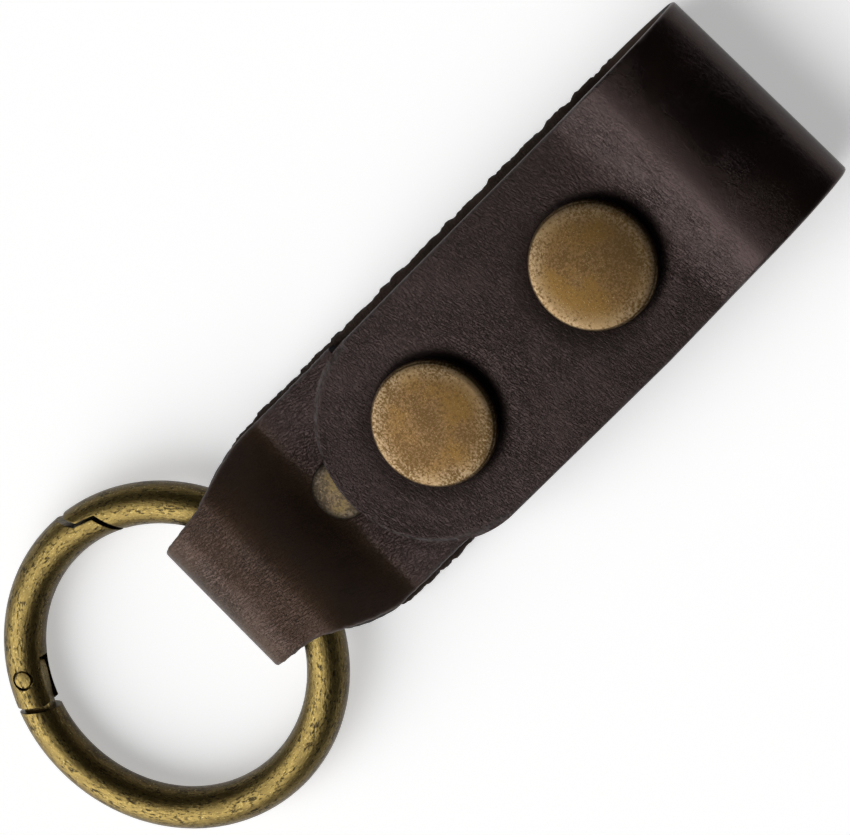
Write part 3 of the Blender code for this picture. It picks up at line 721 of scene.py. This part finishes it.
def makeHolderStrap():
    rivetSpot = (rivetAlong, rivetX, *dents["rivet"])
    sheet = leatherSheet("leather_holder_strap", holderStations(), [rivetSpot], None, True)
    for end in snapPlaces:
        cutWith(sheet, cylinderCutter(holes["eyelet"], -4 * mm, 1 * mm, snapMatrix(end)))
    cutWith(sheet, cylinderCutter(holes["rivet"], -1 * mm, 6 * mm, rivetMatrix))
    cutWith(sheet, cylinderCutter(holes["rivetSeat"], -1 * mm, 0.45 * mm, rivetMatrix))
    cutWith(sheet, cylinderCutter(holes["socketSeat"], -0.1 * mm, 4 * mm, snapMatrix("end"), 96))
    smoothFaces(sheet, 50)
    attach(sheet, "strap")
    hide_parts("strap_back", "ring_wrap")


def makeFlap():
    spots = [(along, snapX, *dents["cap"]) for along, _ in snapPlaces.values()]
    roundStart = strap["flapTip"] - strap["flapRound"]
    sheet = leatherSheet("leather_front_flap", flapStations(), spots, roundStart, False)
    for end in snapPlaces:
        cutWith(sheet, cylinderCutter(holes["eyelet"], 2.5 * mm, 7.5 * mm, snapMatrix(end)))
    smoothFaces(sheet, 50)
    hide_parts("belt_loop_fold", "front_flap")
    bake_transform(sheet)


makeHolderStrap()
makeFlap()

print("stage 3: snaps and rivet")

snap = {
    "top": (strap["stack"] + strap["thickness"]) / mm, "crown": 1.66, "drop": 0.31, "dropAt": 6.5,
    "crownEdge": 7.08, "shoulder": 0.6, "shoulderUp": 0.73, "radius": 7.48,
}


# profiles are (radius, height) in millimetres, from the face of the back layer

def capProfile():
    top = snap["top"]
    crown = []
    for i in range(10):
        r = snap["crownEdge"] * i / 10
        crown.append((r, top + snap["crown"] - snap["drop"] * (r / snap["dropAt"]) ** 2))
    centre = (snap["radius"] - snap["shoulder"], top + snap["shoulderUp"])
    rolled = arcPoints(centre, snap["shoulder"], 70, 0, 8)
    rim = [(snap["radius"], top + 0.15), (6.7, top + 0.15), (6.7, top + 0.6), (2.4, top + 0.6)]
    barrel = [(2.4, top + 0.15), (1.4, top + 0.15), (1.4, 2.7), (2.3, 2.7), (2.3, 2.45)]
    bore = [(0.95, 2.45), (0.95, top + 0.2), (0, top + 0.2)]
    return crown + rolled + rim + barrel + bore


socketProfile = [
    (1.6, 3.35), (6.0, 3.35), (6.25, 3.27), (6.35, 3.1), (6.35, 1.3), (6.27, 1.1), (6.05, 1.0),
    (3.5, 1.0), (3.5, 1.25), (4.1, 1.25), (4.1, 1.85), (3.5, 1.85), (3.5, 2.85), (1.6, 2.85),
]
studProfile = [
    (1.6, 0.15), (6.0, 0.15), (6.0, 0.6), (3.1, 0.6), (2.95, 0.75), (2.95, 1.45), (3.2, 1.7),
    (3.3, 1.87), (3.28, 2.0), (3.05, 2.15), (1.9, 2.15), (1.9, 1.95), (2.6, 1.75), (2.6, 0.75),
    (1.6, 0.75),
]
postProfile = [
    (0, -3.05), (4.5, -3.05), (4.72, -2.97), (4.8, -2.8), (4.8, -2.45), (1.4, -2.45), (1.4, 0.9),
    (2.3, 0.9), (2.3, 1.15), (0.95, 1.15), (0.95, -2.2), (0, -2.2),
]
rivetPostProfile = [
    (0, -0.2), (3.3, -0.2), (3.55, -0.12), (3.65, 0.02), (3.65, 0.3), (1.0, 0.3), (1.0, 5.2),
    (0, 5.2),
]
rivetCapProfile = [
    (0, 5.8), (0.8, 5.785), (1.6, 5.72), (2.4, 5.6), (3.0, 5.45), (3.4, 5.3), (3.6, 5.15),
    (3.6, 5.0), (1.5, 5.0), (1.5, 1.2), (1.15, 1.2), (1.15, 5.35), (0, 5.35),
]


# the outer part of each turned piece is lightened: partly rim wear, partly a painted highlight
rimWearAndHighlight = {"from": 0.62, "length": 0.36}


def placedTurning(name, profile, place, body, finish):
    piece = turnedPiece(name, profile)
    widest = max(r for r, z in profile) * mm
    shares = [vertex.co.xy.length / widest for vertex in piece.data.vertices]
    wornAndHighlit = [eased(0.0, 1.0, (share - rimWearAndHighlight["from"]) / rimWearAndHighlight["length"]) for share in shares]
    piece.data.attributes.new("wearAndHighlight", "FLOAT", "POINT").data.foreach_set("value", wornAndHighlit)
    piece.matrix_world = place
    applyPlace(piece)
    piece.data.materials.clear()
    piece.data.materials.append(finish)
    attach(piece, body)
    return piece


snapParts = (
    ("snap_cap", capProfile(), "flap", capBrass, "antique_brass"),
    ("snap_socket", socketProfile, "flap", darkBrass, "dark_brass"),
    ("snap_stud", studProfile, "strap", darkBrass, "dark_brass"),
    ("snap_post", postProfile, "strap", capBrass, "antique_brass"),
)
for end in snapPlaces:
    for label, profile, body, finish, slot in snapParts:
        name = f"{label}_{end}"
        piece = placedTurning(f"{name}_turned", profile, snapMatrix(end), body, finish)
        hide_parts(name)
rivetParts = (
    ("rivet_cap", rivetCapProfile, darkBrass, "antique_brass"),
    ("rivet_post", rivetPostProfile, darkBrass, "dark_brass"),
)
for name, profile, finish, slot in rivetParts:
    piece = placedTurning(f"{name}_turned", profile, rivetMatrix, "strap", finish)
    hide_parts(name)

print("stage 4: ring and gate")

ring = {
    "radius": ringRadius, "wire": 2.5 * mm, "swingOffset": 1.5 * mm, "swingHeight": 5.2 * mm,
    "centre": ringCentre, "hinge": math.radians(55.6), "seamGate": 3.5 * mm,
    "seamBody": 4.15 * mm, "knuckle": 4.0 * mm, "slotHalf": 1.25 * mm, "tongueHalf": 0.95 * mm,
    "pin": 0.75 * mm, "pinRoom": 0.1 * mm, "edge": 0.13 * mm, "pinHead": 1.25 * mm,
    "headFloor": 1.6 * mm, "springBore": 1.1 * mm, "depth": 4 * mm,
}
latchLine = ((24.0, 0.4), (21.0, -1.8), (18.9, -3.35), (18.05, -5.85), (15.0, -6.7), (12.0, -7.55))
latchGap = (0.20 * mm, -0.58 * mm)
latchStep = (0.05 * mm, -0.145 * mm)  # the narrower lower part of the latch seam
boreEnds = ((-2.3 * mm, -1.0 * mm), (-10.5 * mm, -2.7 * mm))
farSide = 2 * ring["radius"] - ring["swingOffset"]
ringTilt = math.asin((ring["swingHeight"] - ring["wire"]) / farSide)
swingAlong = ring["centre"] - ring["radius"] + ring["swingOffset"]
ringPlace = (
    Matrix.Translation((0, loopEnd + swingAlong, ring["swingHeight"]))
    @ Matrix.Rotation(-ringTilt, 4, "X")
    @ Matrix.Translation((0, ring["radius"] - ring["swingOffset"], 0))
)


def hingePoint(along, outward):
    sine, cosine = math.sin(ring["hinge"]), math.cos(ring["hinge"])
    x = ring["radius"] * cosine - along * sine + outward * cosine
    y = ring["radius"] * sine + along * cosine + outward * sine
    return x, y


def hingeOutline(points):
    return [hingePoint(along * mm, outward * mm) for along, outward in points]


def wireRing(name):
    startFresh()
    bpy.ops.mesh.primitive_torus_add(
        major_segments=200, minor_segments=44, major_radius=ring["radius"], minor_radius=ring["wire"]
    )
    piece = bpy.context.object
    piece.name = name
    return piece


def wedge(first, last):
    reach = 34 * mm
    turns = [math.radians(first + (last - first) * i / 4) for i in range(5)]
    points = [(0.0, 0.0)] + [(reach * math.cos(a), reach * math.sin(a)) for a in turns]
    return prismPiece("wedge", points, -ring["depth"], ring["depth"])


def latchCutter(shift, side, low=-ring["depth"], high=ring["depth"]):
    line = [(x * mm + shift[0], y * mm + shift[1]) for x, y in latchLine]
    reach = 14 * mm * side
    far = [(line[-1][0], line[-1][1] + reach), (line[0][0], line[0][1] + reach)]
    return prismPiece("latchCutter", line + far, low, high)


def knuckleCutter():
    seam, radius = ring["seamGate"] / mm, ring["knuckle"] / mm
    corner = -math.degrees(math.acos(seam / radius))
    arc = arcPoints((0, 0), radius, corner, -62, 8)
    points = [(seam, 5.0)] + arc + [(arc[-1][0], -6.0), (10.0, -6.0), (10.0, 5.0)]
    return prismPiece("knuckleCutter", hingeOutline(points), -ring["depth"], ring["depth"])


def hingeTongue():
    tip = [(-1.78, -1.45), (-1.98, -0.5), (-1.6, 0.45), (-1.15, 1.0), (-0.4, 1.3)]
    points = [(5.2, 1.2), (5.2, -2.0), (-0.7, -2.0), (-1.3, -1.9)] + tip
    half = ring["tongueHalf"]
    return prismPiece("hingeTongue", hingeOutline(points), -half, half)


def pinCutter(radius, low=-ring["depth"], high=ring["depth"]):
    x, y = hingePoint(0.0, 0.0)
    return cylinderCutter(radius, low, high, Matrix.Translation((x, y, 0)))


flatWearAndHighlight = {"from": 0.25, "length": 0.65}


def finishRingPiece(piece, body, finish, nodes):
    # painted highlight: the two flat sides are lightened, partly rubbed wear and partly a painted
    # highlight, and the flanks stay dark
    facing = [abs(vertex.normal.z) for vertex in piece.data.vertices]
    rubbedAndHighlit = [eased(0.0, 1.0, (share - flatWearAndHighlight["from"]) / flatWearAndHighlight["length"]) for share in facing]
    piece.data.attributes.new("wearAndHighlight", "FLOAT", "POINT").data.foreach_set("value", rubbedAndHighlit)
    piece.matrix_world = ringPlace
    applyPlace(piece)
    piece.data.materials.clear()
    piece.data.materials.append(finish)
    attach(piece, body)
    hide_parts(*nodes)


def makeRingBody():
    body = wireRing("ring_body_wire")
    cutWith(body, wedge(-8, 58))
    cutWith(body, latchCutter(latchGap, 1, low=-0.9 * mm))
    cutWith(body, latchCutter(latchStep, 1, high=-0.8 * mm))
    seam, reach = ring["seamBody"] / mm, 6.0
    outline = hingeOutline([(seam, reach), (seam, -reach), (-reach, -reach), (-reach, reach)])
    cutWith(body, prismPiece("seamCutter", outline, -ring["depth"], ring["depth"]))
    softenEdges(body, ring["edge"], 50)
    cutWith(body, hingeTongue(), "UNION")
    cutWith(body, pinCutter(ring["pin"] + ring["pinRoom"]))
    smoothFaces(body)
    finishRingPiece(body, "ring", ringBrass, ["ring_body"])


def makeGate():
    gate = wireRing("gate_arm")
    cutWith(gate, wedge(-27, 72), "INTERSECT")
    cutWith(gate, latchCutter((0.0, 0.0), -1))
    cutWith(gate, knuckleCutter())
    softenEdges(gate, ring["edge"], 50)
    slot = hingeOutline([(-2.3, -6.0), (-2.3, 1.45), (9.0, 1.45), (9.0, -6.0)])
    cutWith(gate, prismPiece("forkSlot", slot, -ring["slotHalf"], ring["slotHalf"]))
    cutWith(gate, pinCutter(ring["pin"] + ring["pinRoom"]))
    cutWith(gate, pinCutter(ring["pinHead"], low=ring["headFloor"]))
    cutWith(gate, pinCutter(ring["pinHead"], high=-ring["headFloor"]))
    start, stop = (Vector((*hingePoint(*end), 0)) for end in boreEnds)
    down = (stop - start).normalized()
    aim = Matrix.Translation(start) @ down.to_track_quat("Z", "Y").to_matrix().to_4x4()
    cutWith(gate, cylinderCutter(ring["springBore"], -1 * mm, (stop - start).length, aim, 32))
    smoothFaces(gate)
    finishRingPiece(gate, "gate", ringBrass, ["gate"])


def makeHingePin():
    upper = [(0.75, 1.7), (1.05, 1.7), (1.05, 2.2), (0.95, 2.32), (0.6, 2.4), (0, 2.43)]
    lower = [(r, -z) for r, z in reversed(upper)]
    pin = turnedPiece("gate_hinge_pin_turned", lower + upper, 48, 0.03 * mm)
    x, y = hingePoint(0.0, 0.0)
    pin.data.transform(Matrix.Translation((x, y, 0)))
    finishRingPiece(pin, "ring", ringBrass, ["gate_hinge_pin"])


makeRingBody()
makeGate()
makeHingePin()
for name in ("snap_spring_loop", "snap_spring_end", "gate_spring", "spring_follower"):
    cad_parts[name].material_slots[0].material = springSteel

print("stage 5: floor, light and camera")

studio = {
    "floorSize": 3.0, "floorColour": (0.86, 0.86, 0.86), "floorGlow": 0.42, "floorRoughness": 0.9,
    "floorDrop": 0.02 * mm, "ambient": 0.03, "peak": 3.4, "lightElevation": 37.0,
    "lightAzimuth": 0.0, "innerAngle": 17.0, "outerAngle": 46.0, "tint": (1.0, 1.0, 1.0),
}


def makeFloor():
    startFresh()
    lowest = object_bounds()[0].z - studio["floorDrop"]
    bpy.ops.mesh.primitive_plane_add(size=studio["floorSize"], location=(0, 0, lowest))
    floor = bpy.context.object
    floor.name = "floor"
    material, _, shader, _ = newMaterial("paleFloor")
    shader.inputs["Base Color"].default_value = (*studio["floorColour"], 1)
    shader.inputs["Roughness"].default_value = studio["floorRoughness"]
    shader.inputs["Specular IOR Level"].default_value = 0.1
    shader.inputs["Emission Color"].default_value = (1, 1, 1, 1)
    shader.inputs["Emission Strength"].default_value = studio["floorGlow"]
    floor.data.materials.append(material)


def makeStudioLight():
    # one very large soft light over the ring's end, with a weak even fill all round
    world = bpy.data.worlds.new("studio")
    bpy.context.scene.world = world
    world.use_nodes = True
    tree = world.node_tree
    background = tree.nodes["Background"]
    direction = addNode(tree, "ShaderNodeTexCoord").outputs["Generated"]
    e, a = math.radians(studio["lightElevation"]), math.radians(studio["lightAzimuth"])
    aim = (math.sin(a) * math.cos(e), math.cos(a) * math.cos(e), math.sin(e))
    facing = addNode(tree, "ShaderNodeVectorMath", {0: direction, 1: aim}, operation="DOT_PRODUCT")
    inner, outer = (math.cos(math.radians(studio[key])) for key in ("innerAngle", "outerAngle"))
    glow = ranged(tree, facing.outputs["Value"], outer, inner, studio["ambient"], studio["peak"])
    tree.links.new(glow, background.inputs["Strength"])
    background.inputs["Color"].default_value = (*studio["tint"], 1)


view = {
    "elevation": 70.907, "azimuth": -1.722, "roll": -133.008, "distance": 636.36 * mm,
    "focal": 5577.34, "width": 850, "aim": (-0.816 * mm, 55.005 * mm, 5.0 * mm),
}


def makeCamera():
    e, a = math.radians(view["elevation"]), math.radians(view["azimuth"])
    back = Vector((math.sin(a) * math.cos(e), -math.cos(a) * math.cos(e), math.sin(e)))
    aim = Vector(view["aim"]) + Vector((0, loopEnd, 0))
    data = bpy.data.cameras.new("camera")
    camera = bpy.data.objects.new("camera", data)
    bpy.context.scene.collection.objects.link(camera)
    camera.location = aim + back * view["distance"]
    roll = Matrix.Rotation(math.radians(view["roll"]), 3, "Z")
    camera.rotation_euler = ((-back).to_track_quat("-Z", "Y").to_matrix() @ roll).to_euler()
    data.sensor_width = 36.0
    data.lens = data.sensor_width * view["focal"] / view["width"]
    data.clip_start, data.clip_end = 0.01, 20
    bpy.context.scene.camera = camera


makeFloor()
makeStudioLight()
makeCamera()
bpy.context.scene.view_settings.view_transform = "Standard"

print("stage 6: done")
